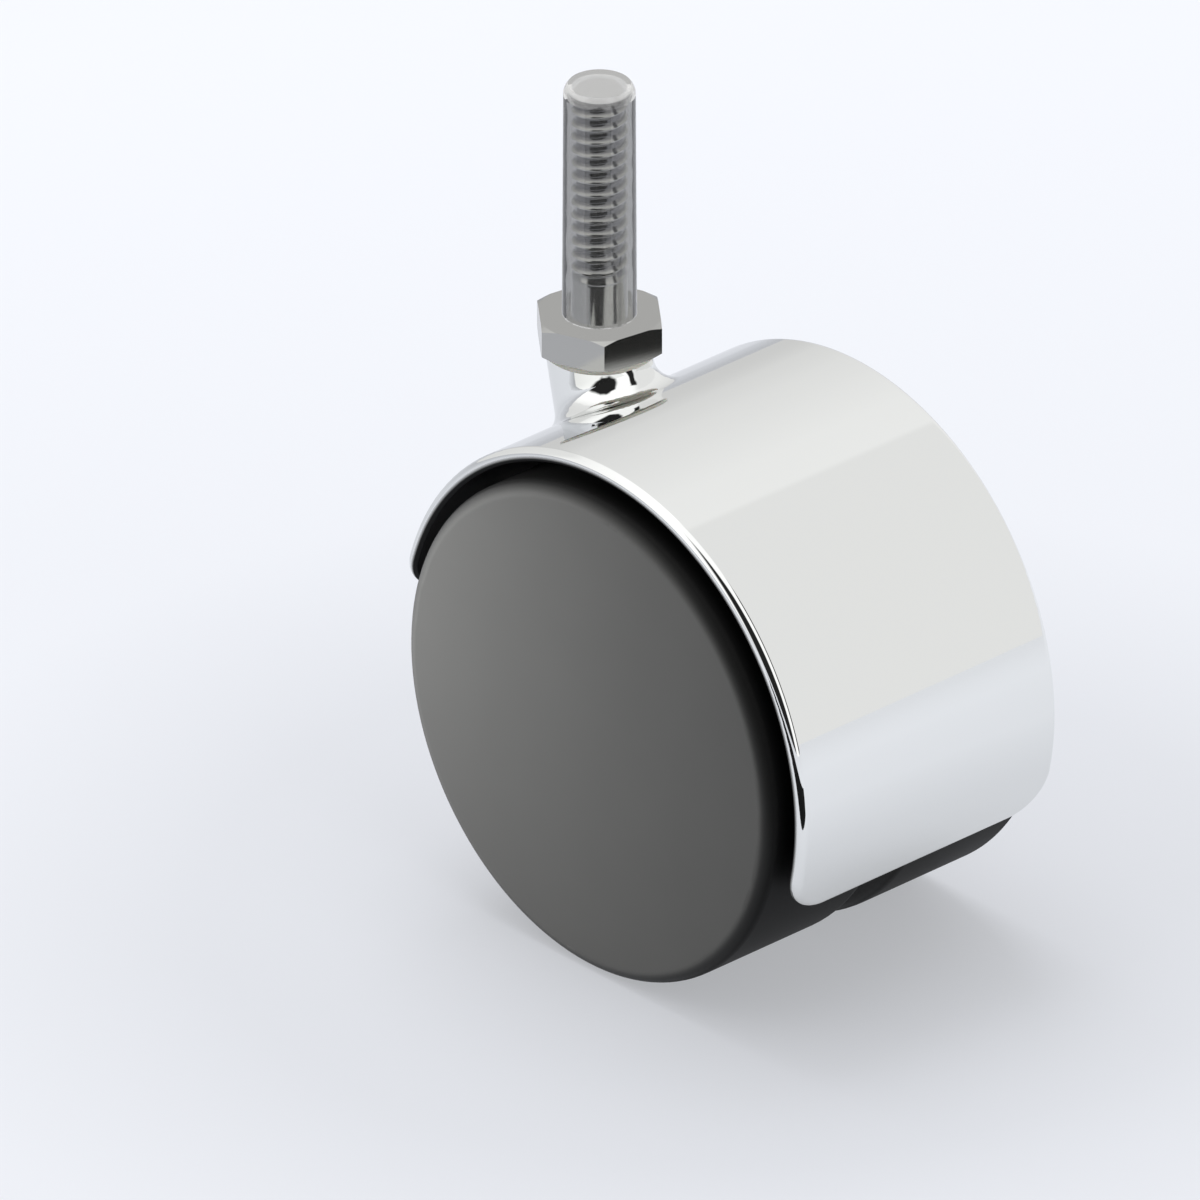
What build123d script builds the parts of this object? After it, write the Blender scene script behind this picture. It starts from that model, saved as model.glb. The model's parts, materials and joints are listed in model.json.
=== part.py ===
from build123d import *
from math import cos, pi, radians, sin
import os

# A hooded twin-wheel swivel castor with a threaded stem, in millimetres.
#
# Frame: +Z is up along the stem. The origin is where the stem's axis meets the top face of the
# hex collar, which is the face that seats against the furniture. The axle runs along Y and lies
# behind the stem, on the +X side. The left wheel is on the -Y side and the right one on the +Y side.
#
# The housing is one die casting: a hood that wraps round both wheels, a tapered neck that holds
# the stem, and a thin web between the wheels that carries the axle's boss. The stem turns in a
# flanged bush in the neck, and a spring ring keeps it there. Each wheel is one hollow moulding
# with a closed outer face, which turns on the fixed axle and snaps onto a ring groove near its end.

# ---- wheels ----
wheel_radius = 37.5
wheels_width = 54.6             # over the outer faces of both wheels
wheels_gap = 3.8                # between the inner faces of the two wheels
face_rounding = 2.2             # where the face turns into the tread
inner_rounding = 3.0            # where the tread turns into the inner face
face_wall = 2.5
rim_wall = 4.5
hub_radius = 8.5
rib_count = 16
rib_thickness = 1.5
ring_radius = 21.0              # middle of the ring that ties the ribs
ring_thickness = 1.5
rib_rim_setback = 2.5           # how far the ribs stay inside the rim's edge

# ---- axle, its bushes, rings and washers ----
axle_radius = 4.0
axle_end_chamfer = 0.8
axle_ring_place = 19.6          # middle of each ring groove, from the middle of the axle
axle_tail = 1.9                 # from the middle of the groove to the axle's end
axle_ring_thickness = 0.8
axle_ring_band = 1.9            # radial width of the spring ring
axle_ring_gap = 2.0             # the split in the spring ring
axle_groove_depth = 0.6
axle_washer_thickness = 0.5
axle_washer_band = 3.9
hub_bush_wall = 1.55
hub_end_room = 0.8              # between the axle's end and the bottom of the hub's bore

# ---- housing: boss and web ----
boss_radius = 9.0
boss_length = 16.0
boss_root_chamfer = 1.2         # where the boss meets the web
web_thickness = 2.6
web_first_angle = 18.0          # the web meets the hood between these two angles
web_last_angle = 158.0

# ---- housing: hood ----
hood_width = 49.5
hood_wall = 2.0
hood_tread_gap = 2.2            # between the wheels' tread and the inside of the hood
hood_tail_angle = -21.3         # lower edge on the trailing side, 0 is level behind the axle
hood_front_angle = 172.0        # lower edge on the stem's side
hood_corner_radius = 6.8
hood_outer_rounding = 1.2
hood_inner_chamfer = 0.4

# ---- housing: neck ----
axle_trail = 26.4               # from the stem's axis back to the axle
crown_drop = 5.6                # from the collar's seat down to the hood's highest line
neck_top_radius = 7.7
neck_taper = 0.134              # radius lost for each millimetre further down
neck_root_depth = 19.0          # from the hood's highest line down to the taper's end
neck_fillet = 3.0
neck_rim_chamfer = 0.4
pad_tread_gap = 1.0             # between the tread and the pad under the neck

# ---- stem ----
thread_radius = 4.0             # over the crests of an M8 thread, and its plain shank
stem_length = 34.8              # above the collar
stem_tip_chamfer = 0.8
collar_across_flats = 17.0
collar_height = 4.8
collar_bevel_height = 0.45
collar_bevel_reach = 0.9
collar_turn = 21.0              # degrees from +X to a corner of the hexagon
journal_radius = 4.0
journal_tip_chamfer = 0.5

# ---- swivel: bush, spring ring and thrust disc ----
bush_wall = 0.95
bush_length = 6.6               # below the flange
flange_radius = 8.2
flange_thickness = 0.8
stem_ring_thickness = 1.0
stem_ring_band = 1.5
stem_ring_gap = 1.6
stem_groove_depth = 0.7
thrust_disc_thickness = 0.5
thrust_disc_radius = 4.1

# ---- thread protector ----
protector_wall = 0.55
protector_foot_radius = 5.3
protector_top_radius = 5.12
protector_crown_radius = 4.45   # of the flat top
protector_shoulder_height = 1.8
protector_top_wall = 1.2

# ---- clearances ----
running_gap = 0.05              # radial, between a shaft and the bore it turns in
face_gap = 0.05                 # between flat faces that turn against each other
ring_side_gap = 0.1             # each side of a spring ring in its groove
ring_back_gap = 0.05            # between a spring ring and the bottom of its groove
chamber_gap = 0.25              # round the stem's spring ring
protector_tip_gap = 0.2         # between the stem's tip and the protector's top
fuse_bite = 0.4                 # how far one form runs into the next before they are joined

# ---- places that follow from the sizes above ----
wheel_outer_face = wheels_width / 2
wheel_inner_face = wheels_gap / 2
wheel_floor = wheel_outer_face - face_wall
rim_inner_radius = wheel_radius - rim_wall
hub_face = boss_length / 2 + axle_washer_thickness + 2 * face_gap
hub_bush_radius = axle_radius + running_gap + hub_bush_wall
axle_half_length = axle_ring_place + axle_tail
axle_groove_radius = axle_radius - axle_groove_depth
axle_groove_half = axle_ring_thickness / 2 + ring_side_gap

hood_inner_radius = wheel_radius + hood_tread_gap
hood_outer_radius = hood_inner_radius + hood_wall
pad_radius = wheel_radius + pad_tread_gap
axle_drop = crown_drop + hood_outer_radius
neck_root_drop = crown_drop + neck_root_depth

neck_top = -(collar_height + face_gap + flange_thickness)
neck_root_radius = neck_top_radius - neck_taper * (neck_root_drop + neck_top)
bush_radius = journal_radius + running_gap + bush_wall
bush_foot = neck_top - bush_length
stem_ring_top = bush_foot - ring_side_gap
stem_ring_foot = stem_ring_top - stem_ring_thickness
stem_ring_radius = journal_radius - stem_groove_depth + ring_back_gap + stem_ring_band
chamber_radius = stem_ring_radius + chamber_gap
chamber_floor = stem_ring_foot - ring_side_gap
stem_foot = chamber_floor - journal_tip_chamfer - ring_side_gap
thrust_disc_top = stem_foot - face_gap
socket_floor = thrust_disc_top - thrust_disc_thickness

protector_bore_top = stem_length + protector_tip_gap
protector_height = protector_bore_top + protector_top_wall


def on_axle(shape):
    """Takes a shape from the axle's own frame, with its axis on Z, to its place along Y."""
    return Pos(axle_trail, 0, -axle_drop) * Rot(X=-90) * shape


def on_side(shape, side):
    """Gives the shape of the right wheel's side (side 1) or its mirror image (side -1)."""
    return shape if side > 0 else shape.mirror(Plane.XY)


def turned(*outline):
    """A solid of revolution about Z from an outline of (radius, height) points."""
    face = make_face(Polyline(*[(radius, height) for radius, height in outline], close=True))
    return revolve(Plane.XZ * face, Axis.Z)


def tube(outer_radius, inner_radius, low, high):
    """A plain tube round Z between two heights."""
    wall = Circle(outer_radius) - Circle(inner_radius)
    return extrude(Pos(0, 0, low) * wall, high - low)


def rod(radius, low, high):
    """A plain round rod on Z between two heights."""
    return extrude(Pos(0, 0, low) * Circle(radius), high - low)


def spring_ring(inner_radius, band, thickness, gap):
    """A flat split ring round Z, with its lower face at height 0 and its gap towards +X."""
    ring = tube(inner_radius + band, inner_radius, 0, thickness)
    reach = inner_radius + band + fuse_bite
    slot = Pos(reach / 2, 0, thickness / 2) * Box(reach, gap, thickness + 2 * fuse_bite)
    return ring - slot


# ---- stem and protector ----

def hex_collar():
    """The hexagon of the stem, bevelled at its corners above and below."""
    corner_radius = collar_across_flats / 2 / cos(pi / 6)
    hexagon = Rot(Z=collar_turn) * RegularPolygon(corner_radius, 6)
    prism = extrude(Pos(0, 0, -collar_height) * hexagon, collar_height)
    bevel_radius = corner_radius - collar_bevel_reach
    envelope = turned(
        (0, 0),
        (bevel_radius, 0),
        (corner_radius, -collar_bevel_height),
        (corner_radius, collar_bevel_height - collar_height),
        (bevel_radius, -collar_height),
        (0, -collar_height),
    )
    return prism & envelope


def threaded_stem():
    """Threaded shank, hex collar and journal, turned from one hexagon bar."""
    groove_radius = journal_radius - stem_groove_depth
    groove_top = stem_ring_top + ring_side_gap
    groove_foot = stem_ring_foot - ring_side_gap
    shank = turned(
        (0, stem_length),
        (thread_radius - stem_tip_chamfer, stem_length),
        (thread_radius, stem_length - stem_tip_chamfer),
        (thread_radius, -collar_height / 2),
        (0, -collar_height / 2),
    )
    journal = turned(
        (0, -collar_height / 2),
        (journal_radius, -collar_height / 2),
        (journal_radius, groove_top),
        (groove_radius, groove_top),
        (groove_radius, groove_foot),
        (journal_radius, groove_foot),
        (journal_radius - journal_tip_chamfer, stem_foot),
        (0, stem_foot),
    )
    return shank + hex_collar() + journal


def stem_snap_ring():
    """The spring ring in the journal's groove, under the bush."""
    inner_radius = journal_radius - stem_groove_depth + ring_back_gap
    ring = spring_ring(inner_radius, stem_ring_band, stem_ring_thickness, stem_ring_gap)
    return Pos(0, 0, stem_ring_foot) * ring


def thread_protector():
    """A thin moulded cap over the thread, with a little draft and soft shoulders."""
    shoulder = protector_height - protector_shoulder_height
    bulge = (
        (protector_crown_radius + 2 * protector_top_radius) / 3,
        protector_height - protector_shoulder_height / 3,
    )
    wall_line = Line((protector_foot_radius, 0), (protector_top_radius, shoulder))
    shoulder_line = ThreePointArc(
        (protector_top_radius, shoulder), bulge, (protector_crown_radius, protector_height)
    )
    rest = Polyline(
        (protector_crown_radius, protector_height),
        (0, protector_height),
        (0, protector_bore_top),
        (protector_crown_radius - protector_wall, protector_bore_top),
        (protector_top_radius - protector_wall, shoulder),
        (protector_foot_radius - protector_wall, 0),
        (protector_foot_radius, 0),
    )
    return revolve(Plane.XZ * make_face([wall_line, shoulder_line, rest]), Axis.Z)


# ---- swivel ----

def stem_bush():
    """The flanged bush in the neck; its flange lies between the neck and the collar."""
    barrel = tube(bush_radius, journal_radius + running_gap, bush_foot, neck_top)
    flange = tube(
        flange_radius, journal_radius + running_gap, neck_top, neck_top + flange_thickness
    )
    return barrel + flange


def thrust_disc():
    """The hard disc at the bottom of the socket that the journal stands on."""
    return rod(thrust_disc_radius, socket_floor, thrust_disc_top)


# ---- housing ----

def hood_point(radius, angle):
    """A point of the hood's section in the axle's own frame."""
    return (radius * cos(radians(angle)), -radius * sin(radians(angle)))


def sector(outer_radius, inner_radius):
    """The hood's section between two radii, in the axle's own frame."""
    middle = (hood_tail_angle + hood_front_angle) / 2
    outer = ThreePointArc(
        hood_point(outer_radius, hood_tail_angle),
        hood_point(outer_radius, middle),
        hood_point(outer_radius, hood_front_angle),
    )
    inner = ThreePointArc(
        hood_point(inner_radius, hood_tail_angle),
        hood_point(inner_radius, middle),
        hood_point(inner_radius, hood_front_angle),
    )
    ends = [Line(outer @ 0, inner @ 0), Line(outer @ 1, inner @ 1)]
    return make_face([outer, inner, *ends])


def axle_distance(point):
    """How far a point in the axle's own frame is from the axle's axis."""
    return (point.X ** 2 + point.Y ** 2) ** 0.5


def hood():
    """The rolled wall of the hood, with rounded corners and rims, in the axle's own frame."""
    section = sector(hood_outer_radius, hood_inner_radius)
    shell = extrude(Pos(0, 0, -hood_width / 2) * section, hood_width)
    corners = [edge for edge in shell.edges() if abs(edge.length - hood_wall) < fuse_bite / 10]
    shell = fillet(corners, hood_corner_radius)
    outer_face = max(shell.faces(), key=lambda face: face.area)
    shell = fillet(outer_face.edges(), hood_outer_rounding)
    inner_faces = shell.faces().filter_by(GeomType.CYLINDER)
    inner_face = min(
        (face for face in inner_faces if face.area > hood_width * hood_inner_radius),
        key=lambda face: axle_distance(face.position_at(0.5, 0.5)),
    )
    return chamfer(inner_face.edges(), hood_inner_chamfer)


def web():
    """The plate between the wheels, from the hood to the boss, in the axle's own frame."""
    middle_radius = (hood_inner_radius + hood_outer_radius) / 2
    first = hood_point(middle_radius, web_first_angle)
    last = hood_point(middle_radius, web_last_angle)
    crown = hood_point(middle_radius, (web_first_angle + web_last_angle) / 2)
    fan = make_face([ThreePointArc(first, crown, last), Polyline(last, (0, 0), first)])
    flank = boss_radius / middle_radius
    first_flank = hood_point(boss_radius, web_first_angle - 90 + flank * 90)
    last_flank = hood_point(boss_radius, web_last_angle + 90 - flank * 90)
    skirt = make_face(Polyline(first, first_flank, last_flank, last, (0, 0), close=True))
    outline = fan + skirt
    return extrude(Pos(0, 0, -web_thickness / 2) * outline, web_thickness)


def neck():
    """The tapered neck and the pad under it, cut clear of the wheels' tread."""
    taper = turned(
        (0, neck_top),
        (neck_top_radius - neck_rim_chamfer, neck_top),
        (neck_top_radius, neck_top - neck_rim_chamfer),
        (neck_root_radius, -neck_root_drop),
        (0, -neck_root_drop),
    )
    return taper - on_axle(rod(pad_radius, -hood_width, hood_width))


def is_neck_foot(edge):
    """True for the curves where the neck runs into the outside of the hood."""
    for share in (0.1, 0.5, 0.9):
        point = edge @ share
        reach = ((point.X - axle_trail) ** 2 + (point.Z + axle_drop) ** 2) ** 0.5
        off_stem = (point.X ** 2 + point.Y ** 2) ** 0.5
        if abs(reach - hood_outer_radius) > fuse_bite / 10 or off_stem > neck_top_radius:
            return False
    return True


def hood_housing():
    """The die casting: hood, neck, web and boss, with the stem's socket and the axle's bore."""
    casting = on_axle(hood()) + neck()
    casting = fillet([edge for edge in casting.edges() if is_neck_foot(edge)], neck_fillet)
    boss = rod(boss_radius, -boss_length / 2, boss_length / 2)
    plate = web() + boss
    roots = [
        edge for edge in plate.edges().filter_by(GeomType.CIRCLE)
        if abs(abs(edge.center().Z) - web_thickness / 2) < fuse_bite / 10
        and abs(edge.radius - boss_radius) < fuse_bite / 10
    ]
    plate = chamfer(roots, boss_root_chamfer)
    casting = casting + on_axle(plate)
    casting -= on_axle(rod(axle_radius, -boss_length, boss_length))
    casting -= rod(bush_radius, bush_foot, neck_top + fuse_bite)
    casting -= rod(chamber_radius, chamber_floor, bush_foot)
    casting -= rod(thrust_disc_radius, socket_floor, chamber_floor)
    return casting


# ---- axle and wheels, each in the axle's own frame for the right wheel's side ----

def axle_pin():
    """The plain pin pressed into the boss, with a ring groove near each end."""
    pin = rod(axle_radius, -axle_half_length, axle_half_length)
    pin = chamfer(pin.edges().filter_by(GeomType.CIRCLE), axle_end_chamfer)
    for side in (-1, 1):
        middle = side * axle_ring_place
        pin -= tube(
            axle_radius + fuse_bite,
            axle_groove_radius,
            middle - axle_groove_half,
            middle + axle_groove_half,
        )
    return pin


def axle_washer():
    """The washer between the boss's end and the hub."""
    low = boss_length / 2 + face_gap
    bore = axle_radius + running_gap
    return tube(bore + axle_washer_band, bore, low, low + axle_washer_thickness)


def axle_snap_ring():
    """The spring ring trapped in the hub, which snaps into the axle's groove."""
    inner_radius = axle_groove_radius + ring_back_gap
    ring = spring_ring(inner_radius, axle_ring_band, axle_ring_thickness, axle_ring_gap)
    return Pos(0, 0, axle_ring_place - axle_ring_thickness / 2) * ring


def hub_bush():
    """The sleeve pressed into the hub behind the spring ring."""
    return tube(
        hub_bush_radius,
        axle_radius + running_gap,
        hub_face,
        axle_ring_place - axle_groove_half,
    )


def wheel_shell():
    """The closed face and the rim, as one turned section with a hollow inside."""
    points = [
        (0, wheel_outer_face),
        (wheel_radius, wheel_outer_face),
        (wheel_radius, wheel_inner_face),
        (rim_inner_radius, wheel_inner_face),
        (rim_inner_radius, wheel_floor),
        (0, wheel_floor),
    ]
    section = make_face(Polyline(*points, close=True))
    roundings = {1: face_rounding, 2: inner_rounding}
    for place, radius in roundings.items():
        corner = section.vertices().sort_by_distance(points[place])[0]
        section = fillet(corner, radius)
    return revolve(Plane.XZ * section, Axis.Z)


def wheel_ribs():
    """Radial ribs from the hub to the rim, with an inner edge that slopes towards the hub."""
    inner = hub_radius - fuse_bite
    outer = rim_inner_radius + fuse_bite
    top = wheel_floor + fuse_bite
    outline = make_face(Polyline(
        (inner, top),
        (outer, top),
        (outer, wheel_inner_face + rib_rim_setback),
        (inner, hub_face),
        close=True,
    ))
    rib = extrude(Plane.XZ * outline, rib_thickness / 2, both=True)
    return [Rot(Z=360 * place / rib_count) * rib for place in range(rib_count)]


def wheel():
    """One hollow moulding: face, rim, hub, ribs and the ring that ties the ribs."""
    ring_outer = ring_radius + ring_thickness / 2
    ring_inner = ring_radius - ring_thickness / 2
    slope = (hub_face - wheel_inner_face - rib_rim_setback) / (rim_inner_radius - hub_radius)
    ring_edge = hub_face - slope * (ring_radius - hub_radius)
    body = wheel_shell() + rod(hub_radius, hub_face, wheel_floor + fuse_bite)
    body += tube(ring_outer, ring_inner, ring_edge, wheel_floor + fuse_bite)
    for rib in wheel_ribs():
        body += rib
    step = axle_ring_place + axle_groove_half
    body -= rod(hub_bush_radius, hub_face - fuse_bite, step)
    body -= rod(axle_radius + fuse_bite, step, axle_half_length + hub_end_room)
    return body


def build():
    """Every node by name."""
    nodes = {
        "threaded_stem": threaded_stem(),
        "stem_snap_ring": stem_snap_ring(),
        "thread_protector": thread_protector(),
        "hood_housing": hood_housing(),
        "stem_bush": stem_bush(),
        "thrust_disc": thrust_disc(),
        "axle_pin": on_axle(axle_pin()),
    }
    for name, side in (("left", -1), ("right", 1)):
        nodes["wheel_" + name] = on_axle(on_side(wheel(), side))
        nodes["hub_bush_" + name] = on_axle(on_side(hub_bush(), side))
        nodes["axle_snap_ring_" + name] = on_axle(on_side(axle_snap_ring(), side))
        nodes["axle_washer_" + name] = on_axle(on_side(axle_washer(), side))
    return nodes


os.makedirs("parts", exist_ok=True)
for node, shape in build().items():
    export_step(shape, "parts/" + node + ".step")
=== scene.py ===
import json
from math import copysign, cos, hypot, pi, radians, sin

import bmesh
import bpy
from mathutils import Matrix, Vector

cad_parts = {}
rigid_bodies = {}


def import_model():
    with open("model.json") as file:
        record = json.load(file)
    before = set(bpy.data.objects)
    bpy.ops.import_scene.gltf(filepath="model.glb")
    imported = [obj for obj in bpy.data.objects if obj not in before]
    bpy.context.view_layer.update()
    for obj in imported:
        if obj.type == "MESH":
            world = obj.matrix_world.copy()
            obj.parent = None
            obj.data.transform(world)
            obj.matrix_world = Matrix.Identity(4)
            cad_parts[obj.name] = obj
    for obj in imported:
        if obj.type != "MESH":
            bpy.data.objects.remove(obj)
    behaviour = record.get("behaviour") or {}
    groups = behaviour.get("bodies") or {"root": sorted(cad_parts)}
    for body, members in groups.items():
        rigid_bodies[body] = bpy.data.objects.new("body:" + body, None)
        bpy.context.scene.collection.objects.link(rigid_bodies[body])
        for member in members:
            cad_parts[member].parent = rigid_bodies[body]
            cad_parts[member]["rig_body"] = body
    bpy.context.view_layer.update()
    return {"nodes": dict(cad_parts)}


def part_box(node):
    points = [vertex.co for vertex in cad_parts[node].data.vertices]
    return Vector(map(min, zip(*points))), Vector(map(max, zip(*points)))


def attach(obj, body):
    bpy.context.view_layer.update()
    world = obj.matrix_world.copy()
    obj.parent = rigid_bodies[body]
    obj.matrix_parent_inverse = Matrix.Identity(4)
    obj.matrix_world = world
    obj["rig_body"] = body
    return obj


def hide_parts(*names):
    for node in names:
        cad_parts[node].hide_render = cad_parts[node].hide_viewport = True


# A hooded twin-wheel swivel castor: the finishes of its pieces, and the thread on its stem.
# Sizes are in metres unless a name says millimetres. The frame is the part's own: +Z up along
# the stem, the axle along Y, the left wheel on the -Y side.

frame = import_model()
nodes = frame["nodes"]

# ---- camera ----
# A long lens from far off, so that parallel edges stay nearly parallel. It looks down on the
# castor from the left wheel's side, with the stem's seat above the middle of the frame.

MM = 0.001
VIEW_AZIMUTH = radians(47.0)
VIEW_ELEVATION = radians(28.3)
VIEW_DISTANCE = 4.0
CLIP_NEAR = 0.5
CLIP_FAR = 50.0
SENSOR_MM = 36.0
FRAME_PIXELS = 1200
PIXELS_PER_MM = 7.093
STEM_PIXEL = (599.5, 312.0)     # where the stem's seat lies in the frame, from its top left

toward_camera = Vector((
    sin(VIEW_AZIMUTH) * cos(VIEW_ELEVATION),
    -cos(VIEW_AZIMUTH) * cos(VIEW_ELEVATION),
    sin(VIEW_ELEVATION),
))
frame_right = Vector((cos(VIEW_AZIMUTH), sin(VIEW_AZIMUTH), 0))
frame_up = toward_camera.cross(frame_right)
metres_per_pixel = MM / PIXELS_PER_MM
aim = (
    frame_right * (FRAME_PIXELS / 2 - STEM_PIXEL[0])
    + frame_up * (STEM_PIXEL[1] - FRAME_PIXELS / 2)
) * metres_per_pixel

camera = bpy.data.objects.new("camera", bpy.data.cameras.new("camera"))
bpy.context.scene.collection.objects.link(camera)
camera.data.sensor_width = SENSOR_MM
camera.data.lens = SENSOR_MM * VIEW_DISTANCE / (FRAME_PIXELS * metres_per_pixel)
camera.data.clip_start = CLIP_NEAR
camera.data.clip_end = CLIP_FAR
camera.location = aim + toward_camera * VIEW_DISTANCE
camera.rotation_mode = "QUATERNION"
camera.rotation_quaternion = (-toward_camera).to_track_quat("-Z", "Y")
bpy.context.scene.camera = camera
bpy.context.scene.view_settings.view_transform = "Standard"

# ---- housing: hood, neck and web ----
# One zinc die casting with the neck and axle boss in one, polished and chrome plated outside. Its
# inside is left as cast, and its deep shade is painted into the colour there as near-black.


def linear(hex_colour):
    """A colour for a shader from its sRGB hex value."""
    channels = [int(hex_colour[place:place + 2], 16) / 255 for place in (1, 3, 5)]
    return [
        value / 12.92 if value <= 0.04045 else ((value + 0.055) / 1.055) ** 2.4
        for value in channels
    ] + [1.0]


def add_node(owner, kind, settings=None, links=None):
    """Adds a node; settings go by property or socket name, links map a socket to its source."""
    tree = getattr(owner, "node_tree", owner)       # of a material or world, or a tree itself
    node = tree.nodes.new(kind)
    for name, value in (settings or {}).items():
        if isinstance(name, str) and hasattr(node, name):
            setattr(node, name, value)
        else:
            node.inputs[name].default_value = value
    for name, source in (links or {}).items():
        tree.links.new(source, node.inputs[name])
    return node


def new_material(name):
    """An empty material with its output node, which is returned beside it."""
    material = bpy.data.materials.new(name)
    material.use_nodes = True
    material.node_tree.nodes.clear()
    return material, add_node(material, "ShaderNodeOutputMaterial")


def finish_material(material, output, shader):
    """Links the last shader to the material's output."""
    material.node_tree.links.new(shader.outputs[0], output.inputs["Surface"])
    return material


WELD = 0.002 * MM
CREASE = 30.0                   # degrees between faces that still shade as one surface


def smooth_copy(name, node, material, crease=CREASE):
    """A merged copy of a CAD node, shaded smooth up to a crease angle, that stands for it."""
    source = nodes[node]
    mesh = source.data.copy()
    mesh.materials.clear()
    work = bmesh.new()
    work.from_mesh(mesh)
    bmesh.ops.remove_doubles(work, verts=work.verts, dist=WELD)
    for face in work.faces:
        face.smooth = True
    for edge in work.edges:
        edge.smooth = len(edge.link_faces) == 2 and edge.calc_face_angle(0) < radians(crease)
    work.to_mesh(mesh)
    work.free()
    if "custom_normal" in mesh.attributes:
        mesh.attributes.remove(mesh.attributes["custom_normal"])
    mesh.materials.append(material)
    piece = bpy.data.objects.new(name, mesh)
    bpy.context.scene.collection.objects.link(piece)
    weighted = piece.modifiers.new("even_shading", "WEIGHTED_NORMAL")
    weighted.mode = "FACE_AREA"
    weighted.keep_sharp = True
    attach(piece, source["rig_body"])
    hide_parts(node)
    return piece


wheel_low, wheel_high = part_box("wheel_left")
axle_place = ((wheel_low.x + wheel_high.x) / 2, (wheel_low.z + wheel_high.z) / 2)
wheel_radius = (wheel_high.x - wheel_low.x) / 2
PLATED_FROM = wheel_radius + 2.9 * MM      # from the axle: the plating starts inside the rim
PLATING_EDGE = 0.25 * MM
CHROME = "#ECEDEC"
CHROME_ROUGHNESS = 0.035
POLISH_WAVE_MM = 9.0
POLISH_WAVE_HEIGHT = 0.012 * MM
POLISH_WAVE_STRENGTH = 0.35
INSIDE_PAINTED_SHADE = "#0B0B0C"
CAST_ROUGHNESS = 0.75
CAST_GRAIN_MM = 0.4             # coarser than the real skin, so that it shows
CAST_GRAIN_HEIGHT = 0.03 * MM
CAST_GRAIN_STRENGTH = 0.5


def axle_distance(material):
    """The distance of the shaded point from the axle's line, as a node."""
    place = add_node(material, "ShaderNodeTexCoord")
    moved = add_node(
        material, "ShaderNodeVectorMath",
        {"operation": "SUBTRACT", 1: (axle_place[0], 0, axle_place[1])},
        {0: place.outputs["Object"]},
    )
    flat = add_node(
        material, "ShaderNodeVectorMath",
        {"operation": "MULTIPLY", 1: (1, 0, 1)},
        {0: moved.outputs[0]},
    )
    return place, add_node(
        material, "ShaderNodeVectorMath", {"operation": "LENGTH"}, {0: flat.outputs[0]}
    )


def chromed_zinc():
    """Bright chrome with the faint waves of a buffed casting; as-cast inside the hood, with its
    deep shade painted in near-black.
    """
    material, output = new_material("chromed_zinc_casting")
    place, distance = axle_distance(material)
    waves = add_node(
        material, "ShaderNodeTexNoise",
        {"Scale": 1 / (POLISH_WAVE_MM * MM), "Detail": 1.0, "Roughness": 0.4},
        {"Vector": place.outputs["Object"]},
    )
    polish = add_node(
        material, "ShaderNodeBump",
        {"Strength": POLISH_WAVE_STRENGTH, "Distance": POLISH_WAVE_HEIGHT},
        {"Height": waves.outputs["Fac"]},
    )
    plated = add_node(
        material, "ShaderNodeMapRange",
        {"From Min": PLATED_FROM - PLATING_EDGE, "From Max": PLATED_FROM + PLATING_EDGE},
        {"Value": distance.outputs["Value"]},
    )
    # painted shade: the unplated inside of the hood takes a near-black colour
    shade = add_node(
        material, "ShaderNodeMix",
        {"data_type": "RGBA", "blend_type": "MIX", 6: linear(INSIDE_PAINTED_SHADE), 7: linear(CHROME)},
        {0: plated.outputs[0]},
    )
    roughness = add_node(
        material, "ShaderNodeMapRange", {"To Min": CAST_ROUGHNESS, "To Max": CHROME_ROUGHNESS},
        {"Value": plated.outputs[0]},
    )
    grain = add_node(
        material, "ShaderNodeTexNoise", {"Scale": 1 / (CAST_GRAIN_MM * MM), "Detail": 3.0},
        {"Vector": place.outputs["Object"]},
    )
    sand = add_node(
        material, "ShaderNodeMapRange", {"To Min": CAST_GRAIN_STRENGTH, "To Max": 0.0},
        {"Value": plated.outputs[0]},
    )
    skin = add_node(
        material, "ShaderNodeBump", {"Distance": CAST_GRAIN_HEIGHT},
        {
            "Height": grain.outputs["Fac"], "Strength": sand.outputs[0],
            "Normal": polish.outputs[0],
        },
    )
    zinc = add_node(
        material, "ShaderNodeBsdfPrincipled", None,
        {
            "Base Color": shade.outputs[2], "Metallic": plated.outputs[0],
            "Roughness": roughness.outputs[0], "Normal": skin.outputs[0],
        },
    )
    return finish_material(material, output, zinc)


RIM_ROUNDING = 1.2 * MM
RIM_CENTRE = wheel_radius + 3.0 * MM       # the rounding's centre line, from the axle
RIM_MISS = 0.03 * MM            # how far a corner may lie off the rounding and still be on it


def shade_rims(piece):
    """Gives both rims the exact direction of their rounding, so that mirrored lines run clean."""
    half_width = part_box("hood_housing")[1].y
    shaded = piece.evaluated_get(bpy.context.evaluated_depsgraph_get())
    mesh = shaded.to_mesh()
    directions = [corner.vector.copy() for corner in mesh.corner_normals]
    for loop in mesh.loops:
        place = mesh.vertices[loop.vertex_index].co
        away = Vector((place.x - axle_place[0], 0, place.z - axle_place[1]))
        out = away.length - RIM_CENTRE
        side = abs(place.y) - half_width + RIM_ROUNDING
        if min(out, side) > -RIM_MISS and abs(hypot(out, side) - RIM_ROUNDING) < RIM_MISS:
            turned = away.normalized() * out + Vector((0, copysign(side, place.y), 0))
            directions[loop.index] = turned.normalized()
    shaded.to_mesh_clear()
    piece.modifiers.clear()
    piece.data.normals_split_custom_set(directions)


housing = smooth_copy("hood_and_neck", "hood_housing", chromed_zinc())
shade_rims(housing)

# ---- axle and its washers ----
# The axle is a bar of drawn bright steel, pressed into the boss, with a thin stamped washer of the
# same steel on each side of the boss. They show only in the slit between the wheels.

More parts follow.
